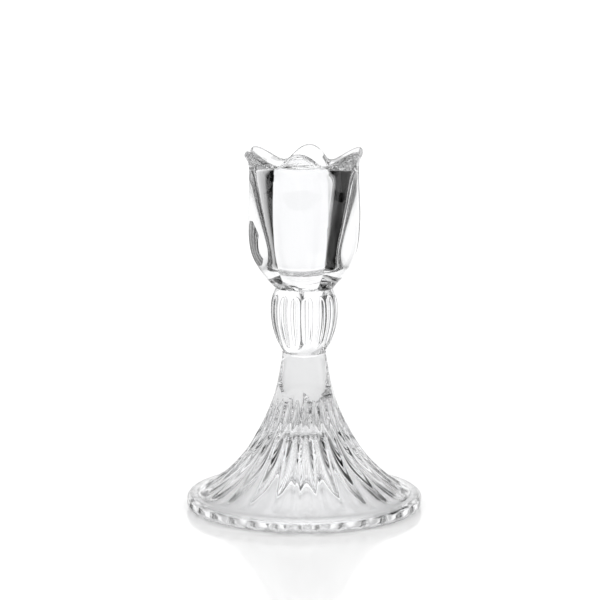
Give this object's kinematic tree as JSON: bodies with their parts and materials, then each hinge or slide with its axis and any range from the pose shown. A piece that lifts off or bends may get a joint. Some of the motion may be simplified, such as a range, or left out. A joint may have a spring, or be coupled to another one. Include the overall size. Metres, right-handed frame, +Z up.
{
  "type": "candlestick",
  "caption": "Clear pressed-glass candlestick with a petalled tulip cup for a taper candle, a fluted knop and a hollow fluted bell foot with a plain thick rim.",
  "frame": {"origin": "centre of the foot's resting face, on the axis", "axes": "+Z up along the axis, from the foot to the cup; -Y towards the middle of a petal"},
  "size_m": [0.0854, 0.0854, 0.13],
  "materials": {
    "clear_glass": "fire-polished, clear"
  },
  "bodies": {
    "root": {"tulip_cup": "clear_glass", "fluted_knop": "clear_glass", "bell_foot": "clear_glass"}
  },
  "joints": []
}
